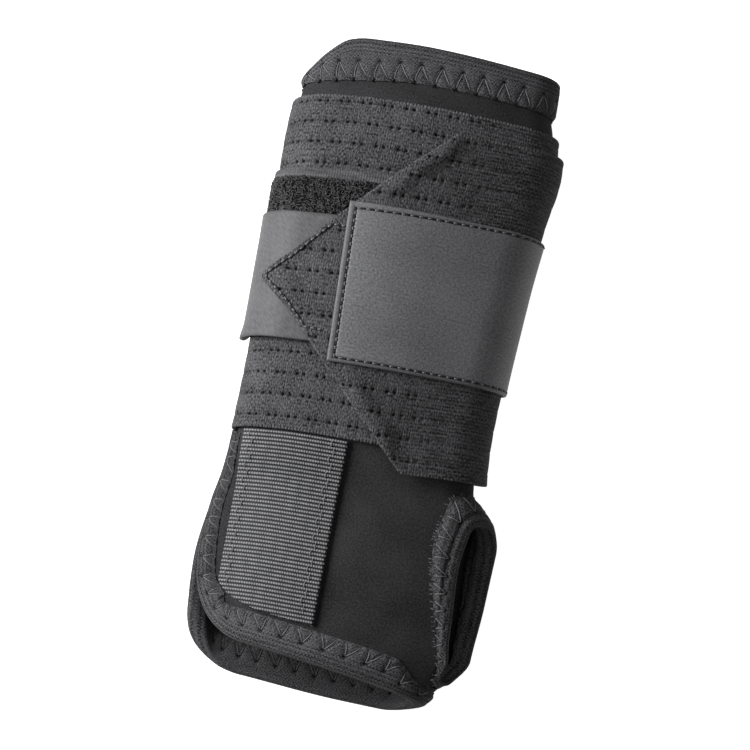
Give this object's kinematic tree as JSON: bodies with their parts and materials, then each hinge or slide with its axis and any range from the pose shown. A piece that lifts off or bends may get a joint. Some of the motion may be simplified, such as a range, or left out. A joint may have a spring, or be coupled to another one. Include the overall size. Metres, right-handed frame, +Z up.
{
  "type": "sliding wrist guard",
  "caption": "Padded wrist wrap with a thumb hole and bound edges, closed by a wide perforated elastic strap wound round it to a pointed end on a hook-and-loop tab.",
  "frame": {"origin": "middle of the guard's box, on the surface that it lies on", "axes": "+Y up the forearm, +X to the thumb side, +Z up through the guard's face"},
  "size_m": [0.088, 0.1946, 0.0399],
  "materials": {
    "neoprene": "smooth jersey over foam",
    "tape": "fine knit",
    "elastic": "ribbed and perforated knit",
    "pile": "fuzzy loop pile",
    "hook": "smooth brushed coating",
    "patch": "fine grain",
    "webbing": "cross-ribbed nylon weave"
  },
  "bodies": {
    "root": {"wrap_body": "neoprene", "top_binding": "tape", "hand_binding": "tape", "thumb_binding": "tape", "elastic_strap": "elastic", "loop_tape": "pile", "hook_tab": "hook", "face_patch": "patch", "webbing_strip": "webbing"}
  },
  "joints": []
}
